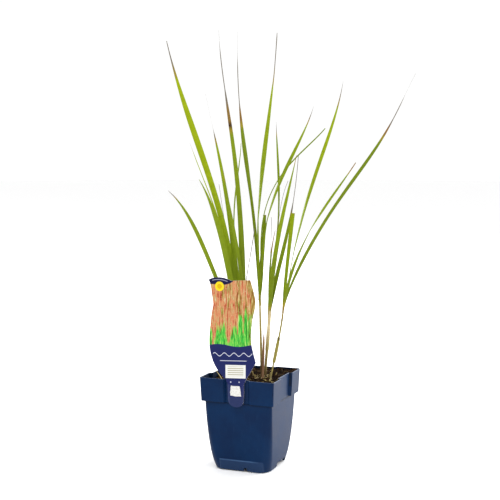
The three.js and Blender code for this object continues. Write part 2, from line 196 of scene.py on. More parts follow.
class Value:
    """A material node's output; arithmetic on it adds the Math nodes."""

    def __init__(self, socket):
        self.socket = socket

    @property
    def tree(self):
        return self.socket.id_data

    def maths(self, operation, *values):
        return add_node(self.tree, "Math", dict(enumerate(values)), operation=operation)

    def __add__(self, other):
        return self.maths("ADD", self, other)

    def __sub__(self, other):
        return self.maths("SUBTRACT", self, other)

    def __rsub__(self, other):
        return self.maths("SUBTRACT", other, self)

    def __mul__(self, other):
        return self.maths("MULTIPLY", self, other)

    def __pow__(self, other):
        return self.maths("POWER", self, other)

    def __abs__(self):
        return self.maths("ABSOLUTE", self)

    def sine(self):
        return self.maths("SINE", self)

    def least(self, other):
        return self.maths("MINIMUM", self, other)

    def most(self, other):
        return self.maths("MAXIMUM", self, other)

    def step(self, low, high):
        """0 below low, 1 above high, smooth between them; falls when low is above high."""
        return add_node(
            self.tree, "MapRange",
            {"Value": self, "From Min": low, "From Max": high}, interpolation_type="SMOOTHSTEP")

    def within(self, middle, half, soft):
        """1 nearer to middle than half, 0 further off, with a soft edge."""
        return (abs(self - middle) - half).step(soft, -soft)

    def part(self, axis):
        return add_node(self.tree, "SeparateXYZ", {0: self}, output=axis)


def add_node(tree, kind, inputs=None, output=0, stops=None, **settings):
    """Any shader node: its settings, then a ramp's stops, then the values or links of its sockets."""
    made = tree.nodes.new("ShaderNode" + kind)
    for name, value in settings.items():
        setattr(made, name, value)
    if stops:
        elements = made.color_ramp.elements
        while len(elements) < len(stops):
            elements.new(0.5)
        for element, (position, colour) in zip(elements, stops):
            element.position = position
            element.color = (*colour, 1)
    for key, value in (inputs or {}).items():
        socket = made.inputs[key]
        if isinstance(value, Value):
            tree.links.new(value.socket, socket)
        else:
            socket.default_value = (*value, 1) if isinstance(value, tuple) and len(value) == 3 \
                and socket.type == "RGBA" else value
    return Value(made.outputs[output])


class Finish:
    """A material being put together on one Principled shader."""

    def __init__(self, name, roughness=0.5, specular=0.5):
        self.material = bpy.data.materials.new(name)
        self.material.use_nodes = True
        self.colour = None
        self.tree = self.material.node_tree
        self.shader = self.tree.nodes["Principled BSDF"]
        self.shader.inputs["Roughness"].default_value = roughness
        self.shader.inputs["Specular IOR Level"].default_value = specular

    def node(self, kind, inputs=None, output=0, stops=None, **settings):
        return add_node(self.tree, kind, inputs, output, stops, **settings)

    def place(self):
        """Where a point of the piece is, in metres."""
        return self.node("TexCoord", output=3)

    def uv(self):
        return self.node("UVMap", uv_map="UVMap")

    def layer(self, name):
        return self.node("Attribute", attribute_name=name, output=2)

    def stretched(self, where, scale):
        return self.node("Mapping", {"Vector": where, "Scale": scale})

    def noise(self, where, scale, detail=3.0, roughness=0.5):
        return self.node(
            "TexNoise",
            {"Vector": where, "Scale": scale, "Detail": detail, "Roughness": roughness})

    def mix(self, share, a, b):
        """Colour a where share is 0, b where it is 1; a plain one is in 0-255 display values."""
        a, b = (colour if isinstance(colour, Value) else seen(*colour) for colour in (a, b))
        return self.node(
            "Mix", {0: share, 6: a, 7: b}, output=2, data_type="RGBA")

    def coat(self, share, colour):
        """Lays a colour over what is painted so far, where share is 1."""
        self.colour = self.mix(share, self.colour, colour)

    def shades(self, value, *stops):
        """A ramp through stops, each a place on it and a colour in 0-255 display values."""
        stops = [(place, seen(*colour)) for place, colour in stops]
        return self.node("ValToRGB", {0: value}, stops=stops)

    def paint(self, **sockets):
        for name, value in sockets.items():
            socket = self.shader.inputs[name.replace("_", " ")]
            self.tree.links.new(value.socket, socket)

    def bump(self, height, distance):
        """distance is in metres for a height of 1."""
        self.paint(Normal=self.node(
            "Bump", {"Strength": 1.0, "Distance": distance, "Height": height}))


LIGHT = 1.3  # how much brighter than 1 the studio light makes an upright face


def seen(red, green, blue):
    """The linear colour that looks like these 0-255 display values in the studio light."""
    return tuple(
        (c / 12.92 if c <= 0.04045 else ((c + 0.055) / 1.055) ** 2.4) / LIGHT
        for c in (red / 255, green / 255, blue / 255))


# ---------------- finishes

def leaf_finish():
    """Fresh blade: ribbed, darker at its edges, straw-coloured where it clasps the stem, with a dry tip.

    Its layers: age is 0 green and 1 dry, grey is 0 brown and 1 bleached where it is dry, fade is 1
    where the foot is still straw-coloured, hue is 0 deep green and 1 bright yellow-green, and fleck is
    a dark spot.
    """
    finish = Finish("leaf_blade", roughness=0.5, specular=0.08)
    uv = finish.uv()
    across = 1 - abs(uv.part(0) * 2 - 1)
    off_middle = abs(across * 2 - 1)
    age, grey, fade, hue, fleck = (
        finish.layer(name) for name in ("age", "grey", "fade", "hue", "fleck"))
    run = finish.node("CombineXYZ", {0: across * 9, 1: uv.part(1) * 3, 2: hue * 17})
    streak = finish.noise(run, 3.0, 4.0, 0.6)
    green = finish.shades(
        hue, (0.0, (118, 142, 36)), (0.5, (158, 184, 34)), (1.0, (208, 226, 14)))
    deep = finish.mix(hue, (90, 112, 16), (168, 190, 10))
    green = finish.mix(((streak - 0.38) * 2.2).step(0, 1), green, deep)
    green = finish.mix(off_middle.step(0.6, 1.0) * 0.5, green, (112, 124, 12))
    green = finish.mix(off_middle.step(0.1, 0.02) * 0.4, green, (176, 190, 60))
    straw = finish.mix(streak, (236, 220, 176), (196, 170, 122))
    green = finish.mix(fade, green, straw)
    brown = finish.mix(hue, (150, 106, 40), (156, 142, 84))
    brown = finish.mix(streak * 0.5, brown, (104, 82, 46))
    bleached = finish.mix(streak, (142, 134, 120), (104, 96, 84))
    olive = finish.mix(streak, (172, 156, 48), (140, 120, 38))
    colour = finish.mix(age.step(0.0, 0.4), green, olive)
    colour = finish.mix(age.step(0.4, 0.9), colour, finish.mix(grey, brown, bleached))
    colour = finish.mix(fleck, colour, (64, 40, 18))
    ribs = (across * (FULL * 8)).sine() * 0.5 + 0.5
    finish.paint(Base_Color=colour, Roughness=age * 0.3 + streak * 0.1 + 0.42)
    finish.bump(ribs * 0.6 + off_middle.step(0.16, 0.0) * -1.0, 0.00012)
    return finish.material


def straw_finish(name="dry_sheath", pale=(244, 226, 184), middle=(188, 168, 106), tan=(150, 130, 74),
                 fresh_tint=(150, 142, 62), dark=(84, 52, 26), darkest=(44, 26, 14)):
    """Dry sheaths and straws, with lengthwise veins, a dark free margin and darker stains.

    Its layers: age is 0 clean and 1 brown, hue is 0 tan and 1 cream, fresh is 1 yellow-green.
    """
    finish = Finish(name, roughness=0.66, specular=0.15)
    uv = finish.uv()
    around = uv.part(0)
    age, hue, fresh = (finish.layer(layer) for layer in ("age", "hue", "fresh"))
    run = finish.node(
        "CombineXYZ", {0: around * 7, 1: uv.part(1) * 2.2, 2: hue * 31})
    streak = finish.noise(run, 3.5, 5.0, 0.65)
    clean = finish.shades(hue, (0.0, tan), (0.5, middle), (1.0, pale))
    clean = finish.mix(fresh, clean, fresh_tint)
    veined = finish.mix(((streak - 0.42) * 2.4).step(0, 1) * 0.55, clean, dark)
    margin = abs(around - 0.53).step(0.03, 0.012) * streak.step(0.3, 0.5)
    veined = finish.mix(margin * 0.75, veined, darkest)
    brown = finish.mix(streak.step(0.3, 0.7), dark, darkest)
    colour = finish.mix((age + (streak - 0.5) * 0.5).step(0.1, 0.95), veined, brown)
    ribs = (around * (FULL * 11)).sine() * 0.5 + 0.5
    finish.paint(Base_Color=colour, Roughness=streak * 0.25 + 0.55)
    finish.bump(ribs * 0.5 + streak, 0.00015)
    return finish.material


def pot_finish():
    """Satin navy plastic: faintly mottled and scuffed, worn pale in specks along the foot, with painted
    highlights on the foot panel's ledge and end and on the rim top, and painted shade under the collar, in
    the recesses and on the inner walls near the rim.
    """
    finish = Finish("navy_plastic", roughness=0.36, specular=0.09)
    where = finish.place()
    x, y, z = (where.part(axis) * 1000 for axis in range(3))
    cloud = finish.noise(where, 26.0, 4.0, 0.6)
    speck = finish.noise(where, 900.0, 3.0, 0.6)
    scuff = finish.noise(finish.stretched(where, (16.0, 16.0, 2.2)), 30.0, 4.0, 0.7)
    finish.colour = finish.mix(cloud.step(0.3, 0.7), (0, 32, 70), (0, 40, 80))
    finish.coat(scuff.step(0.56, 0.8) * 0.25, (44, 72, 108))
    on_front = (abs(y) - abs(x)).step(-0.5, 0.5)
    along = x * (y.step(0.5, -0.5) * 2 - 1)
    panel = on_front * (z - 13.3).step(0.5, -0.1)
    finish.coat(panel * along.within(3, 27, 0.6) * 0.95, (34, 58, 94))
    # Painted highlight: a paler line along the foot panel's top ledge and, at half strength, down its left
    # end, where the rounded edges would catch the light; foot_wear is real speckled wear along the very
    # foot.
    ledge_highlight = panel * (z - 12.4).step(-0.4, 0.2) * (along + 24.4).step(-0.4, 0.4) * (along - 18).step(9, -3)
    upright = panel * abs(along + 23.9).step(0.7, 0.2)
    foot_wear = (z - 1.2).step(0.8, -0.8) * speck.step(0.35, 0.6)
    highlight_and_wear = ledge_highlight.most(upright * 0.5).most(foot_wear * 0.5) * cloud.step(0.2, 0.5)
    finish.coat(highlight_and_wear * 0.75, (66, 98, 140))
    # Painted highlight: the up-facing rim top is laid paler, in patches set by the scuff noise.
    rim = (z - 109.7).step(-0.15, 0.1)
    finish.coat(rim * scuff.step(0.35, 0.6) * 0.5, (84, 108, 146))
    # Painted shade: a dark band on the body just under the collar's lower edge, where the collar shades it.
    painted_collar_shade = (z - 82).step(-3.2, -0.4) * (z - 82.2).step(0.2, 0.0)
    finish.coat(painted_collar_shade * 0.6, (4, 18, 40))
    # Painted shade: the recessed stretches between the collar corners and the pot's inner walls, above z
    # 94, darkened towards near black.
    out, near_middle = abs(x).most(abs(y)), abs(x).least(abs(y))
    inside = ((near_middle - 16).step(-0.5, 0.5) * (out - 45.05).step(0.15, -0.15)).most(
        (out - 41.4).step(0.15, -0.15)) * (z - 94).step(-1, 1)
    finish.coat(inside * 0.7, (0, 12, 30))
    finish.paint(Base_Color=finish.colour, Roughness=cloud * 0.14 + speck * 0.08 + highlight_and_wear * 0.1 + 0.28)
    finish.bump(speck * 0.6 + cloud * 0.4, 0.00006)
    return finish.material


def soil_finish():
    """Dark damp peat, near black between its crumbs, with a few rust-brown shreds."""
    finish = Finish("peat", roughness=0.95, specular=0.04)
    where = finish.place()
    coarse = finish.noise(where, 190.0, 5.0, 0.7)
    fine = finish.noise(where, 1000.0, 4.0, 0.7)
    finish.colour = finish.shades(
        coarse, (0.3, (12, 8, 5)), (0.48, (26, 17, 10)), (0.6, (54, 35, 19)),
        (0.75, (92, 58, 26)))
    finish.coat(fine.step(0.56, 0.76) * 0.35, (98, 68, 34))
    finish.paint(Base_Color=finish.colour, Roughness=fine * 0.2 + 0.78)
    finish.bump(coarse + fine * 0.5, 0.0006)
    return finish.material


def label_finish():
    """Printed sheet: a streaky picture of warm plumes over green blades, navy below and on its crown.

    Everything on it is plain: a yellow disc, pale lines, a white panel with level bars and a white patch.
    """
    finish = Finish("printed_label", roughness=0.4, specular=0.12)
    where = finish.place()
    x, y, z = (where.part(axis) * 1000 for axis in range(3))
    level = z - (x + 1.3) * 0.053  # the print runs a little uphill
    wobble = finish.noise(where, 60.0, 2.0)
    drift = finish.noise(finish.stretched(where, (150.0, 1.0, 26.0)), 1.0, 3.0, 0.5)
    thread = finish.noise(finish.stretched(where, (600.0, 1.0, 70.0)), 1.0, 4.0, 0.65) * 1.9 - 0.45
    fleck = finish.noise(finish.stretched(where, (1300.0, 1.0, 420.0)), 1.0, 2.0, 0.6)
    plumes = finish.shades(
        thread, (0.12, (132, 44, 26)), (0.32, (188, 92, 58)), (0.5, (222, 148, 104)),
        (0.68, (184, 160, 100)), (0.88, (240, 222, 188)))
    browns = finish.shades(
        thread, (0.12, (70, 46, 16)), (0.35, (150, 96, 40)), (0.55, (156, 140, 62)),
        (0.72, (222, 186, 124)), (0.9, (246, 232, 198)))
    plumes = finish.mix((drift - x * 0.004).step(0.53, 0.44), plumes, browns)
    plumes = finish.mix(fleck.step(0.58, 0.72) * 0.5, plumes, (252, 226, 186))
    blades = finish.shades(
        thread, (0.1, (14, 66, 28)), (0.3, (48, 120, 30)), (0.5, (62, 200, 70)),
        (0.68, (150, 214, 84)), (0.88, (222, 226, 150)))
    low = (level + drift * 150 - thread * 26 - (x + 4) * 0.35).step(244, 226)
    right = (x + 8).step(-6, 14) * drift.step(0.42, 0.34)
    picture = finish.mix(low.most(right * 0.8), plumes, blades)
    picture = finish.mix((x - level * 0.04).step(7, 13) * 0.75, picture, browns)
    navy = finish.mix(wobble, (22, 30, 84), (30, 40, 98))
    boundary = (x * 0.126 + 4.47).sine() * 1.5 + 150.2
    finish.colour = finish.mix((level - boundary).step(-0.35, 0.35), navy, picture)

    dip = (x + 16.5).most(0.0)
    crown_edge = dip * dip * 0.028 + 219.9
    crown = (z - crown_edge).step(-0.3, 0.3) * (x + 4.2).step(0.4, -0.4)
    finish.coat(crown, (16, 16, 62))
    bow = x + 21.5
    arc = abs(z + bow * bow * 0.017 - 225.6).step(0.6, 0.25) * x.within(-20.5, 9.5, 0.5)
    finish.coat(arc * 0.6, (196, 196, 222))
    off_x, off_z = x + 20.9, z - 217.8
    off_disc = (off_x * off_x + off_z * off_z) ** 0.5
    disc = finish.mix(off_disc.step(3.4, 2.4), (248, 222, 30), (222, 178, 8))
    finish.coat(off_disc.step(5.7, 5.3), disc)

    wave = abs(level - 139.5 + (x * 0.52).sine() * 1.9).step(0.55, 0.25) * x.within(-4.8, 24.5, 0.4)
    line = abs(level - 132.2).step(0.5, 0.25) * x.within(-4.1, 16.5, 0.4)
    finish.coat(wave.most(line * 0.8), (226, 228, 240))
    panel = level.within(119.6, 7.75, 0.2) * x.within(-1.2, 12.5, 0.2)
    bars = (level * 2.6 + 1.4).sine().step(0.0, 0.5) * x.within(-1.2, 9.8, 0.2) \
        * level.within(119.8, 5.8, 0.2)
    barred = finish.mix(bars * 0.9, (238, 238, 232), (168, 162, 134))
    finish.coat(panel, barred)
    aside, above = abs(x + 2.0) - 5.2, level - 107.3
    dots = (aside * aside + above * above).step(0.9, 0.4)
    finish.coat(dots * 0.8, (214, 216, 232))

    # Painted sheen: the sheet below z 89.5 is laid a paler, purplish navy.
    painted_tongue_sheen = (z - 89.5).step(0.6, -0.6)
    finish.coat(painted_tongue_sheen * 0.9, (38, 50, 92))
    pressed = abs(x - 7.4).step(0.5, 0.2).most((x + 8.6).step(0.3, -0.3)) * (z - 104).step(1, -1)
    finish.coat(pressed * 0.5, (64, 76, 110))
    ragged = abs(x + 1.2) + (wobble - 0.5) * 9 + (z - 96).step(3, 7) * 0.9
    patch = ragged.step(6.4, 5.8) * (abs(z - 97) + (wobble - 0.5) * 4 - 5.6).step(0.3, -0.3)
    stain = finish.noise(where, 700.0, 3.0, 0.6).step(0.52, 0.66)
    finish.coat(patch, finish.mix(stain * 0.5, (236, 235, 230), (150, 140, 116)))

    back = (y + 43.7).step(-0.15, 0.15)
    back_paper = finish.mix((z - 108).step(-0.3, 0.3), (40, 48, 100), (226, 227, 224))
    rows = (z * 1.5).sine().step(0.3, 0.7) * x.within(-5, 17, 0.4) * z.within(165, 32, 0.5)
    back_paper = finish.mix(rows * 0.45, back_paper, (120, 124, 150))
    finish.coat(back, back_paper)
    finish.coat(finish.layer("cut_edge") * 0.8, (206, 204, 200))
    finish.paint(Base_Color=finish.colour, Roughness=wobble * 0.1 + 0.32)
    finish.bump(patch * 1.0 + fleck * 0.08, 0.00012)
    return finish.material


# ---------------- pot

HEIGHT = 110.0
BASE_WIDTH = 69.4  # across the flats at the foot
BULGE = 12.0  # the width gained in the rounded lower part
BULGE_HEIGHT = 26  # how quickly it is gained
FLARE = 0.0325  # how the straight upper part still widens, for each millimetre up
TUCK = 0.5  # how far each wall draws in at the very foot
TUCK_HEIGHT = 15
BASE_RADIUS = 14.0
RIM_RADIUS = 2.5
COLLAR_BOTTOM = 82.0
COLLAR_WIDTH = 89.8  # at its lower edge
RIM_WIDTH = 92.3
PAD_RADIUS = 11.0  # the flat pad under the middle of the floor
FLOOR_UNDER = 6.2
FLOOR_TOP = 7.6
PANEL_FROM, PANEL_TO = -24, 30  # the low panel at the foot of the front and back
PANEL_HEIGHT = 13
PANEL_PROUD = 0.9
PANEL_EDGE = 0.4
DRAIN_RADIUS = 4
DRAIN_OFFSET = 19
FOOT_CUT_FRONT = -41  # y where the cuts in the foot's edges begin
FOOT_CUT_DEPTH = 10
FRONT_RECESS = 14.0  # half the plain stretch between two collar corners, front and back
SIDE_RECESS = 18.0  # and on the two sides
WALL = 1.2
EDGE = 0.3  # rounding of the pot's edges
UNDER_INSET = 1.6
SOIL_GAP = 0.3
RECESS_SHARE = 0.3  # share of a half side's cells that the plain stretch takes
CORNER_SHARE = 0.4  # share of the rest that the round corner takes
SIDE_STEPS = 60


def body_half(z):
    tuck = TUCK * clamp(1 - z / TUCK_HEIGHT) ** 1.5
    return (BASE_WIDTH + BULGE * (1 - exp(-z / BULGE_HEIGHT)) + FLARE * z) / 2 - tuck


def body_radius(z):
    return mix(RIM_RADIUS, BASE_RADIUS, max(0.0, 1 - z / HEIGHT) ** 1.5)


def collar_half(z):
    return mix(COLLAR_WIDTH, RIM_WIDTH, (z - COLLAR_BOTTOM) / (HEIGHT - COLLAR_BOTTOM)) / 2


def pot_side(s, z, inset, collar, recess):
    """A point of one side, seen from outside: s runs from -1 to 1 between the corners' middles."""
    sign = 1 if s >= 0 else -1
    share = abs(s)
    edge = recess + inset
    if share <= RECESS_SHARE:
        return Vector((sign * edge * share / RECESS_SHARE, -(body_half(z) - inset), z))
    half = (collar_half(z) if collar else body_half(z)) - inset
    radius = max(0.6, (RIM_RADIUS if collar else body_radius(z)) - inset)
    run = (share - RECESS_SHARE) / (1 - RECESS_SHARE)
    if run < 1 - CORNER_SHARE:
        x, y = edge + (half - radius - edge) * run / (1 - CORNER_SHARE), half
    else:
        turn = (run - 1 + CORNER_SHARE) / CORNER_SHARE * pi / 4
        x = half - radius + radius * sin(turn)
        y = half - radius + radius * cos(turn)
    return Vector((sign * x, -y, z))


def pot_ring(u, z, inset, collar):
    """A point of the pot's round-cornered square section; u runs round it once."""
    side, s = divmod(u * 4 + 0.5, 1.0)
    recess = SIDE_RECESS if side % 2 else FRONT_RECESS
    point = pot_side(s * 2 - 1, z, inset, collar, recess)
    return quarters(side) @ point


def foot_panel(point, z):
    """How far the low panel at the foot of the front or back stands proud at a point of it."""
    along = copysign(1, -point.y) * point.x
    if abs(point.y) < abs(point.x):
        return 0.0
    sides = ramp(PANEL_FROM - PANEL_EDGE, PANEL_FROM + PANEL_EDGE, along) \
        * ramp(PANEL_TO + PANEL_EDGE, PANEL_TO - PANEL_EDGE, along)
    return PANEL_PROUD * sides * ramp(PANEL_HEIGHT + PANEL_EDGE, PANEL_HEIGHT - PANEL_EDGE, z)


def push_out(point, by):
    """Moves a point of the wall outward, square to the side it is on."""
    if abs(point.y) > abs(point.x):
        return point + Vector((0, copysign(by, point.y), 0))
    return point + Vector((copysign(by, point.x), 0, 0))


# Outlines cut from the foot, x and z: the lifted stretch with its notch, and the low arch.
FRONT_CUT = [(-24, -1), (-23.6, 0.6), (-22.8, 0.9), (5.4, 0.9), (5.4, 4.2), (5.8, 4.6), (9.4, 4.6),
             (9.8, 4.2), (9.8, 0.9), (14.5, 0.9), (15.2, 0.6), (15.5, -1)]
SIDE_CUT = [(-4, -1), (-3.9, 3.4), (-3.0, 5.0), (-1.2, 5.6), (23.2, 5.6), (25, 5.0), (25.9, 3.4), (26, -1)]


def make_pot(material):
    """The shell: from the pad under the floor up the outside, over the rim and down to the floor."""
    outer = [0.0, 0.3, 1.2, 2.4, 4, 6, 8, 10, 12, 12.4, 12.7, 13.0, 13.3, 13.6, 14.5, 17, 20, 25, 31, 38,
             46, 54, 62, 70, 77, 81, 81.8]
    collar = [COLLAR_BOTTOM, COLLAR_BOTTOM + EDGE, 84, 88, 93, 98, 103, 107, 109, HEIGHT - EDGE, HEIGHT]
    rows = [("pad", 0.0, 0.0), ("pad", 0.0, PAD_RADIUS - EDGE), ("pad", EDGE, PAD_RADIUS),
            ("pad", FLOOR_UNDER, PAD_RADIUS + 0.2)]
    rows += [("body", FLOOR_UNDER, UNDER_INSET), ("body", EDGE, UNDER_INSET),
             ("body", 0.0, UNDER_INSET - EDGE)]
    rows += [("body", z, EDGE if z == 0 else 0.0) for z in outer]
    rows += [("collar", z, EDGE if z in (COLLAR_BOTTOM, HEIGHT) else 0.0) for z in collar]
    rows += [("collar", HEIGHT, WALL - EDGE), ("collar", HEIGHT - EDGE, WALL)]
    rows += [("collar", z, WALL) for z in (107, 103, 98, 93, 88, 83.5)]
    rows += [("body", z, WALL) for z in (83.0, 77, 62, 46, 31, 20, 13, 8.2)]
    rows += [("body", FLOOR_TOP, WALL + 0.6), ("pad", FLOOR_TOP, 10.0), ("pad", FLOOR_TOP, 0.0)]

    def place(u, v):
        kind, z, measure = rows[round(v * (len(rows) - 1))]
        if kind == "pad":
            way = pot_ring(u, 0, 0, False)
            way.z = 0
            flat = way.normalized() * measure
            return Vector((flat.x, flat.y, z))
        point = pot_ring(u, z, measure, kind == "collar")
        if kind == "body" and measure <= EDGE and z < PANEL_HEIGHT + 1:
            point = push_out(point, foot_panel(point, z))
        return point

    bm = new_mesh()
    skin(bm, SIDE_STEPS * 4, len(rows) - 1, place)
    cutter = new_mesh()
    for quarter, outline in ((0, FRONT_CUT), (2, FRONT_CUT), (1, SIDE_CUT), (3, SIDE_CUT)):
        verts = plate(cutter, outline, FOOT_CUT_FRONT, FOOT_CUT_DEPTH)
        bmesh.ops.rotate(cutter, verts=verts, cent=(0, 0, 0), matrix=quarters(quarter))
    for x, y in ((1, 1), (-1, 1), (-1, -1), (1, -1)):
        bmesh.ops.create_cone(
            cutter, cap_ends=True, segments=32, radius1=DRAIN_RADIUS * MM, radius2=DRAIN_RADIUS * MM,
            depth=8 * MM,
            matrix=Matrix.Translation(Vector((x * DRAIN_OFFSET, y * DRAIN_OFFSET, 4)) * MM))
    finish_piece("nursery_pot", combine(bm, cutter, "DIFFERENCE"), material, ["pot"], 35)


# ---------------- soil

SOIL_TOP = 104
SOIL_TILT = 0.02, 0.085  # how it rises to the right and to the back
SOIL_BUMP = 0.7
SETTLED = 0.3  # the finer soil lies this much lower, with loose crumbs on it
CORNER_REACH = 42  # how far out loose bits lie in the corners
SIDE_REACH = 40  # and along the sides
CORNER_FROM = 20  # where the corners begin
FIBRE_REACH = 41


def soil_height(x, y):
    """Height of the soil in millimetres: uneven, with clods and crumbs."""
    uneven = sin(x * 0.31 + 1.3) * cos(y * 0.27) + 0.6 * sin(x * 0.11 - y * 0.63)
    height = SOIL_TOP + SOIL_TILT[0] * x + SOIL_TILT[1] * y + SOIL_BUMP * uneven
    spot = Vector((x, y, 3.1))
    height += 1.1 * noise.noise(spot * 0.22) + 0.8 * noise.noise(spot * 0.55)
    height += 0.55 * abs(noise.noise(spot * 1.3)) + 0.25 * noise.noise(spot * 2.9)
    return height - SETTLED


def make_soil(material):
    cells = 150
    half = 46.0  # the block is wider than the pot, and is cut to its inside
    low = 2
    floor = FLOOR_TOP + SOIL_GAP

    block = new_mesh()
    top = bmesh.ops.create_grid(block, x_segments=cells, y_segments=cells, size=0.5)["verts"]
    for vert in top:
        x, y = vert.co.x * 2 * half, vert.co.y * 2 * half
        vert.co = Vector((x, y, soil_height(x, y))) * MM
    rim = [edge for edge in block.edges if edge.is_boundary]
    down = bmesh.ops.extrude_edge_only(block, edges=rim)["geom"]
    for vert in (g for g in down if isinstance(g, bmesh.types.BMVert)):
        vert.co.z = low * MM
    bmesh.ops.holes_fill(block, edges=[e for e in block.edges if e.is_boundary], sides=0)

    inset = WALL + SOIL_GAP
    rows = [("middle", floor)] + [("body", z) for z in (floor, 11, 15, 22, 34, 50, 66, 80, 83.6)]
    rows += [("collar", z) for z in (83.8, 95, 112)] + [("middle", 112)]

    def place(u, v):
        kind, z = rows[round(v * (len(rows) - 1))]
        return Vector((0, 0, z)) if kind == "middle" else pot_ring(u, z, inset, kind == "collar")

    room = new_mesh()
    skin(room, SIDE_STEPS * 4, len(rows) - 1, place)
    finish_piece("potting_soil", combine(block, room, "INTERSECT"), material, ["soil"], 60)


def scatter_on_soil(chance):
    """A place on the open soil."""
    while True:
        x = chance.uniform(-CORNER_REACH, CORNER_REACH)
        y = chance.uniform(-CORNER_REACH, CORNER_REACH)
        if max(abs(x), abs(y)) < SIDE_REACH or min(abs(x), abs(y)) > CORNER_FROM:
            return x, y


def make_crumbs(material):
    chance = random.Random(7)
    bm = new_mesh()
    for _ in range(1000):
        x, y = scatter_on_soil(chance)
        size = chance.uniform(0.3, 0.95) * (1.5 if chance.random() < 0.08 else 1)
        made = bmesh.ops.create_icosphere(bm, subdivisions=1, radius=1)["verts"]
        turn = Matrix.Rotation(chance.uniform(0, FULL), 3, chance.choice("XYZ"))
        spread = Vector((size, size * chance.uniform(0.6, 1.1), size * chance.uniform(0.5, 0.9)))
        centre = Vector((x, y, soil_height(x, y) + size * 0.15))
        for vert in made:
            rough = 1 + chance.uniform(-0.28, 0.28)
            vert.co = (centre + turn @ (vert.co * rough * spread)) * MM
    finish_piece("soil_crumbs", bm, material, crease=20)


def straw_look(age, hue, fresh=0.0):
    return {"age": age, "hue": hue, "fresh": fresh}


def lay_fibre(bm, chance, x, y, long, turn, radius, look):
    """One straw or root end that lies bent on the soil."""
    bend = chance.uniform(-70, 70)
    lift = chance.uniform(0.0, 0.5)
    points = []
    for i in range(7):
        t = i / 6
        way = radians(turn + bend * t)
        px = clamp(x + long * (t - 0.5) * cos(way), -FIBRE_REACH, FIBRE_REACH)
        py = clamp(y + long * (t - 0.5) * sin(way), -FIBRE_REACH, FIBRE_REACH)
        points.append(Vector((px, py, soil_height(px, py) + lift + 0.3 * sin(pi * t))))
    stick(bm, points, lambda t: radius * (0.35 + 0.65 * sin(pi * mix(0.15, 0.9, t))), 5, look)


def make_fibres(material):
    """Straws, root ends and shreds in the soil, and golden shreds of old sheaths round the shoots."""
    chance = random.Random(23)
    bm = new_mesh("age", "hue", "fresh")
    for _ in range(110):
        x, y = scatter_on_soil(chance)
        look = straw_look(chance.uniform(0.35, 1.0), chance.uniform(0, 0.6))
        lay_fibre(bm, chance, x, y, chance.uniform(3, 10), chance.uniform(0, 360),
                  chance.uniform(0.1, 0.32), look)
    for shoot in SHOOTS.values():
        for _ in range(14):
            turn, far = chance.uniform(0, 360), chance.uniform(2.0, 8.5)
            x = shoot["foot"][0] + far * cos(radians(turn))
            y = shoot["foot"][1] + far * sin(radians(turn))
            look = straw_look(chance.uniform(0.0, 0.6), chance.uniform(0.3, 0.8))
            lay_fibre(bm, chance, x, y, chance.uniform(3, 9), turn + chance.uniform(-35, 35),
                      chance.uniform(0.2, 0.45), look)
    finish_piece("soil_fibres", bm, material, crease=60)


def stick(bm, points, radius, sides, look):
    """A thin round stick along points."""
    steps = len(points) - 1

    def place(u, v):
        row = round(v * (steps + 2))
        i = clamp(row - 1, 0, steps)
        way = (points[min(steps, i + 1)] - points[max(0, i - 1)]).normalized()
        side = way.cross(Vector((0.1, 0.2, 1))).normalized()
        size = 0 if row in (0, steps + 2) else radius(i / steps)
        turn = u * FULL
        return points[i] + (side * cos(turn) + side.cross(way) * sin(turn)) * size

    skin(bm, sides, steps + 2, place, lambda u, v: look)


# ---------------- plant label

LABEL_FRONT = -44.1
LABEL_THICK = 0.8
CLIP_LEFT, CLIP_RIGHT = -9.6, 6.4
CLIP_INNER = -39.8  # y of the clip's face inside the pot
CLIP_BOTTOM, CLIP_TOP = 96, 111.1
CLIP_GAP = 0.3  # between the clip and the rim

# The sheet's edge in x and z. A line joins its points, a wave curves through them, and a bend is
# drawn by them from where the edge has come to.
LABEL_OUTLINE = [
    ("line", [(-11.4, 106.4), (-12.4, 106.6), (-13.6, 110.4)]),
    ("wave", [(-13.6, 110.4), (-17.9, 113.4), (-28.5, 127.8), (-33.9, 149.4), (-31.7, 180.1),
              (-28.8, 197)]),
    ("wave", [(-28.8, 197), (-32.1, 218.5), (-34.8, 225)]),
    ("bend", [(-21.2, 231.6), (-6.5, 224.8)]),
    ("line", [(17.1, 226.8)]),
    ("wave", [(17.1, 226.8), (23.4, 201.9), (19.3, 178.6), (18.2, 155), (23.9, 131.6)]),
    ("line", [(11.7, 110.9), (10, 107.2), (9.4, 106.9), (8.9, 86)]),
    ("bend", [(7.9, 75), (-9.5, 75), (-10.7, 86)]),
]


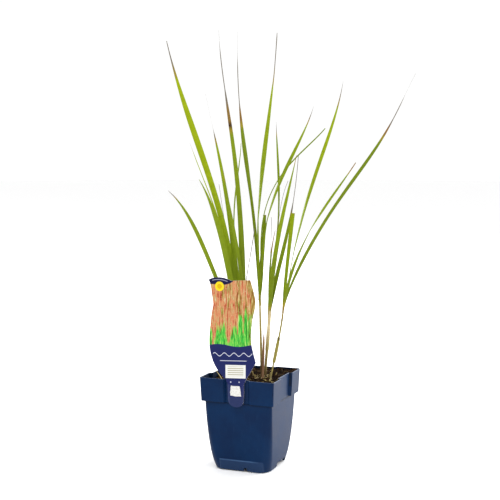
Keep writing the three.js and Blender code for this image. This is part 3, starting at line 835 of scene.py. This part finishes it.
def make_label(material):
    outline = []
    for kind, points in LABEL_OUTLINE:
        if kind == "line":
            outline += [Vector(p) for p in points]
        elif kind == "wave":
            steps = 7 * (len(points) - 1)
            outline += [Vector([through([p[k] for p in points], i / steps) for k in (0, 1)])
                        for i in range(1, steps + 1)]
        else:
            hull = [outline[-1], *(Vector(p) for p in points)]
            outline += [Vector([blend([p[k] for p in hull], i / 16) for k in (0, 1)])
                        for i in range(1, 17)]
    bm = new_mesh()
    cut_edge = bm.faces.layers.float.new("cut_edge")
    plate(bm, outline, LABEL_FRONT, LABEL_THICK)
    for side in bm.faces:
        side[cut_edge] = 1.0 if len(side.verts) == 4 else 0.0
    bmesh.ops.triangulate(bm, faces=[f for f in bm.faces if len(f.verts) > 4])
    # the clip: over the rim and down inside it
    for low, high in (
            ((CLIP_LEFT, LABEL_FRONT + 0.05, HEIGHT + CLIP_GAP), (CLIP_RIGHT, CLIP_INNER, CLIP_TOP)),
            ((CLIP_LEFT, CLIP_INNER - LABEL_THICK, CLIP_BOTTOM), (CLIP_RIGHT, CLIP_INNER, 110.7))):
        middle = (Vector(low) + Vector(high)) / 2 * MM
        size = (Vector(high) - Vector(low)) * MM
        made = bmesh.ops.create_cube(
            bm, size=1, matrix=Matrix.Translation(middle) @ Matrix.Diagonal((*size, 1)))["verts"]
        edges = list({edge for vert in made for edge in vert.link_edges})
        bmesh.ops.bevel(bm, geom=edges, offset=0.2 * MM, segments=2, affect="EDGES", profile=0.5,
                        material=-1)
    finish_piece("printed_plant_label", bm, material, ["plant_label"], 30)


# ---------------- shoots
# Turns are compass degrees, counter-clockwise from +X; leans are degrees from upright.
# A stem's age, hue and fresh are its look at even steps from its foot to its top, green_from is how
# far above the stem's top, in millimetres, the blades turn green, and tinge is how dry their feet
# look. sheath is a looser sheath over it: the shares where it begins and ends, and its radius.
# collar is the radius at the top of the green sheath, in place of the usual one.

REAR_SHOOT = dict(long=71, radii=(2, 1.6), green_from=-6, age=(0.9, 0.6, 0.2, 0.1),
                  hue=(0.2, 0.4, 0.5, 0.5), fresh=(0, 0.1, 0.4, 0.7))
SHOOTS = {
    "a": dict(foot=(-14.7, -7.3), turn=19, leans=(0.5, -1), **REAR_SHOOT),
    "f": dict(foot=(-5.7, -4.3), turn=201, leans=(2, 4), **REAR_SHOOT),
    "b": dict(foot=(12.3, 6.7), turn=202, leans=(1.9, 1.4), long=116, radii=(1.8, 1.15), green_from=-11,
              age=(0.95, 0.8, 0.3, 0.15, 0.1, 0.1), hue=(0.1, 0.3, 0.4, 0.4, 0.4, 0.4),
              fresh=(0, 0, 0.1, 0.3, 0.35, 0.6), tinge=0.3),
    "c": dict(foot=(12.7, 10.1), turn=20, leans=(4.4, 4.9, 3.6), long=96, radii=(1.3, 1.95), green_from=1,
              age=(0.9, 0.7, 0.35, 0.2, 0.1, 0, 0), hue=(0.1, 0.3, 0.45, 0.5, 0.75, 1, 1),
              fresh=(0, 0.1, 0.3, 0.4, 0.15, 0, 0), sheath=(0.5, 0.8, 2.3), collar=1.7),
    "d": dict(foot=(26.3, -10.6), turn=20, leans=(6, 16, 11, 5.5), long=108, radii=(0.8, 1.05),
              green_from=-1, age=(0.3, 0.2, 0.15, 0.1, 0.05, 0.4, 0.45),
              hue=(0.8, 0.7, 0.4, 0.4, 0.5, 0.15, 0.1),
              fresh=(0, 0.3, 0.7, 0.8, 0.9, 0.5, 0.3), sheath=(0.36, 0.63, 2.0), tinge=0.7),
}


def blade(turn, leans, long, swing, wide, face, below, hue, green=1.0, dry=0.9, grey=0.97,
          thread=0.4, hair=1.05, cut=False, spot=None):
    """One blade's numbers.

    wide is its width in millimetres at even steps of its green part, green that part's share of the
    length, face the compass turns that its foot and tip face, below how far under the shoot's top it
    leaves, hue 0 deep green to 1 bright, dry and grey the shares where it turns dry and bleached,
    thread the width of its dry tip, hair the share where that is down to a hair, cut says that its
    end is cut square, and spot is the share where it has a dark fleck.
    """
    return dict(turn=turn, leans=leans, long=long, swing=swing, wide=wide, face=face, below=below,
                hue=hue, green=green, dry=dry, grey=grey, thread=thread, hair=hair, cut=cut,
                spot=spot)


BLADES = {
    "a": [
        blade(162, (-1.7, 12.2, 29.7, 25.4, 15.4), 369, 8, (3.5, 6.5, 7, 7.6, 2), (317, 280), 10, 0.86,
              dry=0.885, grey=0.92, thread=0.9),
        blade(237, (0.7, 18.8, 11.1, 41.2), 202, 18, (4, 6.5, 7, 6.8, 4), (115, 80), 7, 0.4,
              dry=1.1, grey=1.1),
        blade(137, (-3.1, 8, 18.3, 32.4, 25.7), 310, 2, (3.5, 5.5, 5.6, 5, 5), (300, 290), 14, 0.55,
              green=0.84, dry=0.79, grey=0.81, thread=0.7, hair=0.87),
        blade(217, (8.1, 36.3, 5.6, 54), 207, 25, (2.8, 4.6, 5, 4.9, 2.2), (95, 130), 14, 0.37,
              dry=0.93, grey=0.95, thread=0.5),
        blade(222, (1.9, 3.5, 30.8, 18.9), 238, -2, (1.8, 2.4, 1.6, 1.2, 0.7), (80, 112), 6, 0.9,
              dry=0.96, grey=0.97, thread=0.9, hair=0.97),
    ],
    "f": [
        blade(267, (-11.6, 19.1, 24.9, 12.3), 208, -12, (3.6, 4.7, 4.2, 3.8, 2.8), (85, 120), 7, 0.2,
              green=0.95, dry=0.93),
        blade(282, (-6.5, 9.2, 6.4, 33.1, 2.6), 367, -26, (5.5, 7.6, 6, 5.4, 6.4), (110, 125), 12, 0.3,
              green=0.82, dry=0.69, grey=0.77, thread=1.0, hair=0.98, spot=0.705),
        blade(187, (-6.2, 16.2, 16.3, -23.2, -1.7), 229, 17, (2.6, 3.4, 2.4, 1.5, 2.0, 1.4), (230, 320), 6,
              0.5, dry=1.1, grey=1.1, thread=0.7),
        blade(42, (1.2, 1.6, 18.3, 6.4), 130, 0, (1.4, 1.2, 0.6, 0.5, 0.4), (250, 292), 7, 0.4,
              green=0.5, dry=0.4, grey=0.45, thread=0.9),
        blade(142, (11.6, 17.4, 21.9, 13.1), 189, 4, (1.8, 1.6, 1.4, 1.2, 0.8), (292, 292), 10, 0.4,
              green=0.5, dry=0.7, grey=0.78, thread=0.45),
    ],
    "b": [
        blade(137, (6.3, 5.4, 46, 33.3, -14.4), 341, -17, (3.4, 4.2, 3.6, 6, 5.5), (310, 290), 14, 0.15,
              green=0.74, dry=0.655, grey=0.72, thread=1.0, hair=0.93),
        blade(322, (-6.4, -14.3, 41.1, 32.1, 17.8), 323, -23, (3.2, 5.6, 6.4, 5.2, 6.5), (109, -191), 7,
              0.68, green=0.86, dry=0.82, grey=0.87, thread=1.5, hair=1.02),
        blade(82, (4.9, 7.7, 10.6, 3.8), 101, 0, (3.6, 5.8, 5.2, 4.8, 3.8), (270, 275), 8, 0.3,
              cut=True),
        blade(52, (6, -11.1, 31.8, 37.6, 16.4), 238, -26, (2.8, 4.8, 4.8, 4.4, 2.6), (117, -133), 6, 0.55,
              dry=0.91, grey=0.94, hair=0.97),
        blade(12, (8.2, -17.6, 3.7, 67.8, 40), 229, 4, (0.8, 0.5, 0.25, 1.6, 2.0), (112, 112), 10, 0.2,
              dry=1.1, grey=1.1, thread=1.1),
    ],
    "c": [
        blade(322, (0.7, -4.2, 7.4, 19.5), 107, 9, (3.6, 3.4, 2.6, 1.9, 1.2), (80, 112), 10, 0.2,
              dry=0.75, grey=1.1, thread=0.5),
        blade(87, (4.6, 29.3, -1.3, -10, -1.8), 230, -26, (5, 4.6, 1.7, 3.2, 2.4), (275, 285), 6, 0.35,
              dry=0.93, grey=0.94, thread=0.6, hair=0.96),
        blade(312, (5.7, 18.1, 35.1, 24.7), 213, 4, (4.6, 5.8, 4.9, 3.8, 2), (125, 100), 12, 0.5,
              dry=0.95, grey=1.1),
        blade(62, (9.2, 26.6, 8.5, 4.3), 193, -18, (4.4, 5.1, 5, 4.2, 3.2), (262, 290), 7, 0.47,
              green=0.72, dry=0.63, grey=0.65, thread=0.75),
        blade(67, (-3, 28, -14, 34), 162, 0, (1.4, 1.3, 1.2, 1.1, 1), (292, 292), 6, 0.5,
              green=0.3, dry=0.6, grey=0.72, thread=0.5),
        blade(322, (-1, -3, 14, -3), 117, 0, (1.4, 1.3, 1.2, 1.1, 1), (292, 292), 6, 0.5,
              green=0.3, dry=0.5, grey=0.6, thread=0.5),
    ],
    "d": [
        blade(97, (17.8, 17, 19.8, 13.5), 119, -12, (2.2, 3.8, 4.1, 4.6, 4.6), (285, 300), 10, 0.65,
              cut=True),
        blade(67, (13.7, 9.4, 28.1, 32.5, 10.3), 284, -14, (2.2, 4.4, 4.9, 4.5, 2.6), (58, -112), 10, 0.7,
              dry=0.9, grey=0.93, thread=0.4, hair=0.94),
        blade(332, (10, 22.2, 46.9, 34), 208, 25, (2, 3.6, 3.6, 3.2, 2.4), (166, -134), 14, 0.4,
              dry=0.93, grey=1.1, thread=0.8),
        blade(12, (10.8, 44.9, 3.1, 80.3, 6.7, 30.8), 314, -20, (2, 3.8, 3.5, 4.3, 4.4), (130, 90), 7, 0.08,
              green=0.82, dry=0.74, grey=0.79, thread=1.0, hair=0.93),
    ],
}

ROOT_Z = 88  # where the stems start, under the soil's surface
GREEN_SHEATH = 17.0  # how much of a stem's top the blades' sheath covers
COLLAR_RADIUS = 0.9  # of that sheath at its top
BLADE_THICK = 0.42
TIP_ROLL = 0.45  # how much thicker a dry tip may be
STOUTEST = 0.42  # the most that half a blade's thickness may be of its width
CLASP_RADIUS = 1.9  # of the gutter at a blade's foot
OPEN_BEND = 0.13  # 1 over the gutter's radius further up
KEEL = 0.14  # how steeply the halves of a blade rise from its midrib
RIB_HEIGHT = 0.05
RIPPLE = 0.10
RIBS = 10  # cells across each face of a blade


def blade_width(shape, t):
    if shape["cut"]:
        return through(shape["wide"], t)
    along = min(1.0, t / shape["green"])
    thread = shape["thread"] * mix(1, 0.15, ramp(shape["hair"] - 0.07, shape["hair"], t))
    return mix(max(thread, through(shape["wide"], along)), thread, along ** 6)


def lay_blade(bm, shoot, shape, chance):
    """One blade: it clasps the stem at its foot, opens into a shallow gutter and runs out to its tip."""
    long, face, below = shape["long"], shape["face"], shape["below"]
    stem = Path((*shoot["foot"], ROOT_Z), shoot["turn"], shoot["leans"], shoot["long"])
    path = Path(stem.at(1 - below / shoot["long"]), shape["turn"], shape["leans"], long, shape["swing"])
    steps = max(40, round(long / 3))
    wave = chance.uniform(0, FULL)

    def section(u, v):
        row_at = v * (steps + 2)
        t = clamp((row_at - 1) / steps)
        closed = row_at < 0.5 or row_at > steps + 1.5
        width = blade_width(shape, t)
        rolled = ramp(shape["dry"] - 0.02, shape["dry"] + 0.05, t) * TIP_ROLL
        thick = 0 if closed else clamp(width * STOUTEST, high=BLADE_THICK / 2 + rolled * 0.5)
        share = 1 - abs(2 * u - 1)
        upper = 1 if u <= 0.5 else -1
        x = (share - 0.5) * width
        bend = mix(1 / CLASP_RADIUS, OPEN_BEND, ramp(0.0, 0.16, t))
        angle = x * bend
        flat = sin(angle) / bend
        rise = (1 - cos(angle)) / bend
        rise += KEEL * abs(x) * ramp(0.02, 0.2, t)
        rib = 0
        if 0 < share < 1:
            rib = RIB_HEIGHT * cos(share * FULL * RIBS / 2) * min(1, width / 3)
        way = path.way(t)
        looks = radians(mix(face[0], face[1], t))
        across = way.cross(Vector((cos(looks), sin(looks), 0))).normalized()
        out = across.cross(way)
        edge = 1 if 0.001 < share < 0.999 else 0.35
        ripple = RIPPLE * sin(t * long / 9 + wave + share * 2.0) * ramp(0.1, 0.3, t)
        return path.at(t) + across * flat + out * (rise + upper * (thick * edge + rib * 0.4) + ripple)

    def marks(u, v):
        t = clamp((v * (steps + 2) - 1) / steps)
        if shape["cut"]:
            age = ramp(0.97, 0.99, t) * 0.25
        else:
            age = ramp(shape["dry"] - 0.03, shape["dry"] + 0.04, t)
        spot = ramp(0.011, 0.005, abs(t - shape["spot"])) if shape["spot"] else 0.0
        above = t * long - below - shoot["green_from"]
        fade = ramp(3, -2, above)
        hue = shape["hue"] * mix(0.4, 1, ramp(0.15, 0.7, t)) + 0.06 * sin(t * 9 + wave)
        return {"age": max(age, fade * shoot.get("tinge", 0.0), ramp(13, 0, above) * 0.3),
                "grey": ramp(shape["grey"] - 0.02, shape["grey"] + 0.02, t), "fade": fade,
                "hue": clamp(hue), "fleck": spot}

    skin(bm, RIBS * 2, steps + 2, section, marks)


def tube(bm, path, span, radius, sides, steps, look, ragged=0.0, swell=0.0):
    """A round sheath along part of a path.

    radius(t) is its size, look(t) its layers' values, ragged tears its upper edge, and swell
    ridges it lengthwise.
    """
    low, high = span

    def place(u, v):
        row = round(v * (steps + 2))
        t = clamp((row - 1) / steps)
        turn = u * FULL
        spot = Vector((cos(turn) * 2.2, sin(turn) * 2.2, low * 9))
        tear = ragged * noise.noise(spot) * ramp(0.55, 1.0, t)
        where = clamp(mix(low, high, t) + tear, 0, 1)
        way = path.way(where)
        side = way.cross(Vector((0, 1, 0))).normalized()
        size = 0 if row in (0, steps + 2) else radius(t)
        size *= 1 + swell * sin(turn * 9)
        return path.at(where) + (side * cos(turn) + side.cross(way) * sin(turn)) * size

    skin(bm, sides, steps + 2, place, lambda u, v: look(clamp((round(v * (steps + 2)) - 1) / steps)))


def make_shoot(name, straw, leaf):
    shoot = SHOOTS[name]
    chance = random.Random("shoot " + name)
    path = Path((*shoot["foot"], ROOT_Z), shoot["turn"], shoot["leans"], shoot["long"])
    top = 1 - GREEN_SHEATH / shoot["long"]
    first, last = shoot["radii"]

    def look(share):
        return {layer: clamp(through(shoot[layer], share)) for layer in ("age", "hue", "fresh")}

    bm = new_mesh("age", "hue", "fresh")
    tube(bm, path, (0, top), lambda t: mix(first, last, t), 28, 44, lambda t: look(t * top), swell=0.03)
    if "sheath" in shoot:
        low, high, size = shoot["sheath"]

        def loose_look(t):
            values = look(mix(low, high, t))
            return values | {"age": max(values["age"], ramp(0.93, 1.0, t))}

        tube(bm, path, (low, high), lambda t: size * (mix(0.9, 0.8, t) + 0.12 * sin(3.1 * t)),
             28, 34, loose_look, ragged=0.05, swell=0.03)
    finish_piece(f"shoot_{name}_sheaths", bm, straw, [f"shoot_{name}_stem"], 50)

    bm = new_mesh("age", "grey", "fade", "hue", "fleck")
    tube(bm, path, (top, 1), lambda t: mix(last, shoot.get("collar", COLLAR_RADIUS), t), 20, 16,
         lambda t: {"age": shoot.get("tinge", 0.0), "grey": 0.0, "hue": 0.4, "fleck": 0.0, "fade": ramp(
             shoot["green_from"] + 1, shoot["green_from"] - 3, (t - 1) * GREEN_SHEATH)}, swell=0.03)
    for shape in BLADES[name]:
        lay_blade(bm, shoot, shape, chance)
    finish_piece(f"shoot_{name}_foliage", bm, leaf, [f"shoot_{name}_blades"], 70)


# ---------------- dry bits

def dry_bit(foot, z, turn, leans, long, radii, hue):
    return dict(foot=foot, z=z, turn=turn, leans=leans, long=long, radii=radii, hue=hue)


DRY = {
    "dry_bract": dry_bit((14.3, 1.7), 92, 22, (2, 1), 69, (1.3, 1.15), 0.4),
    "cut_stub_1": dry_bit((3.3, 8.7), 94, 160, (18, 24), 17, (1.1, 0.8), 0.4),
    "cut_stub_2": dry_bit((7.3, 1.7), 94, 200, (8, 12), 14, (1.2, 0.9), 0.4),
    "cut_stub_3": dry_bit((20.3, 2.7), 94, 330, (14, 22), 19, (1.1, 0.8), 0.3),
    "cut_stub_4": dry_bit((22.3, 13.7), 95, 40, (16, 30), 15, (1, 0.7), 0.4),
    "cut_stub_5": dry_bit((29.3, -2.3), 94, 10, (22, 34), 14, (1, 0.7), 0.5),
    "cut_stub_6": dry_bit((-9.7, 2.7), 94, 110, (10, 20), 16, (1.2, 0.9), 0.4),
    "loose_straw": dry_bit((-23.6, -23), 99, 143, (52, 66), 26, (0.5, 0.4), 0.75),
}


def make_dry_bits(straw, bract):
    """The dead bract between the shoots, which ends in a point, and the ragged stubs and straw."""
    for name, shape in DRY.items():
        path = Path((*shape["foot"], shape["z"]), shape["turn"], shape["leans"], shape["long"])
        first, last = shape["radii"]
        hue = shape["hue"]
        clean = name == "loose_straw"
        bm = new_mesh("age", "hue", "fresh")
        if name == "dry_bract":
            material, slot = bract, "dry_brown"
            tube(bm, path, (0, 1), lambda t: mix(first, last, t) * ramp(1.02, 0.8, t) + 0.12, 14, 40,
                 lambda t: straw_look(ramp(0.8, 1.0, t) * 0.9, hue + 0.3 * sin(9 * t)), swell=0.06)
        else:
            material, slot = straw, "stem_straw"
            tube(bm, path, (0, 1), lambda t: mix(first, last, t), 14, 20,
                 lambda t: straw_look(0.0, hue, 0.35) if clean else straw_look(mix(0.9, 0.35, t), hue),
                 ragged=0.06, swell=0.05)
        finish_piece(f"{name}_fine", bm, material, [name], 50)


# ---------------- camera, floor and light

CAMERA_PLACE = 0.5546, -1.3937, 0.4233
CAMERA_AIM = -0.0007, -0.0003, 0.256
CAMERA_LENS = 92.85
FLOOR_SIZE = 6
FLOOR_DROP = 0.0005  # the floor lies this much under the pot
WORLD_STRENGTH = 1.03
LIGHT_AIM = 0, 0, 0.2
LIGHTS = {  # place, size and power of each
    "side_softbox": ((0.95, 1.85, 0.8), 1.5, 86.0),
    "top_softbox": ((-0.5, -1.0, 2.1), 1.8, 26.0),
}


def aim(thing, place, target):
    """Puts a camera or a light at a place, looking at a target."""
    thing.location = place
    way = Vector(target) - thing.location
    thing.rotation_euler = way.to_track_quat("-Z", "Y").to_euler()
    bpy.context.scene.collection.objects.link(thing)


def make_stage():
    scene = bpy.context.scene
    scene.view_settings.view_transform = "Standard"
    camera_data = bpy.data.cameras.new("camera")
    camera_data.lens = CAMERA_LENS
    camera_data.sensor_width = 36
    camera = bpy.data.objects.new("camera", camera_data)
    aim(camera, CAMERA_PLACE, CAMERA_AIM)
    scene.camera = camera

    bm = bmesh.new()
    bmesh.ops.create_circle(bm, cap_ends=True, segments=64, radius=FLOOR_SIZE)
    floor = to_object("floor", bm)
    floor_finish = Finish("pale_floor", roughness=0.8, specular=0.1)
    floor_finish.shader.inputs["Base Color"].default_value = (0.95, 0.95, 0.95, 1)
    floor.data.materials.append(floor_finish.material)
    floor.location.z = -FLOOR_DROP

    world = bpy.data.worlds.new("studio")
    world.use_nodes = True
    world.node_tree.nodes["Background"].inputs["Color"].default_value = (1, 1, 1, 1)
    world.node_tree.nodes["Background"].inputs["Strength"].default_value = WORLD_STRENGTH
    scene.world = world

    for name, (place, size, power) in LIGHTS.items():
        light_data = bpy.data.lights.new(name, "AREA")
        light_data.size = size
        light_data.energy = power
        light = bpy.data.objects.new(name, light_data)
        light.visible_camera = False
        aim(light, place, LIGHT_AIM)


make_stage()
straw = straw_finish()
leaf = leaf_finish()
peat = soil_finish()
make_pot(pot_finish())
make_soil(peat)
make_crumbs(peat)
make_fibres(straw)
make_label(label_finish())
for shoot_name in SHOOTS:
    make_shoot(shoot_name, straw, leaf)
make_dry_bits(straw, straw_finish(
    "red_brown_bract", pale=(186, 148, 112), middle=(152, 114, 82), tan=(130, 92, 62),
    dark=(90, 56, 44), darkest=(48, 28, 22)))
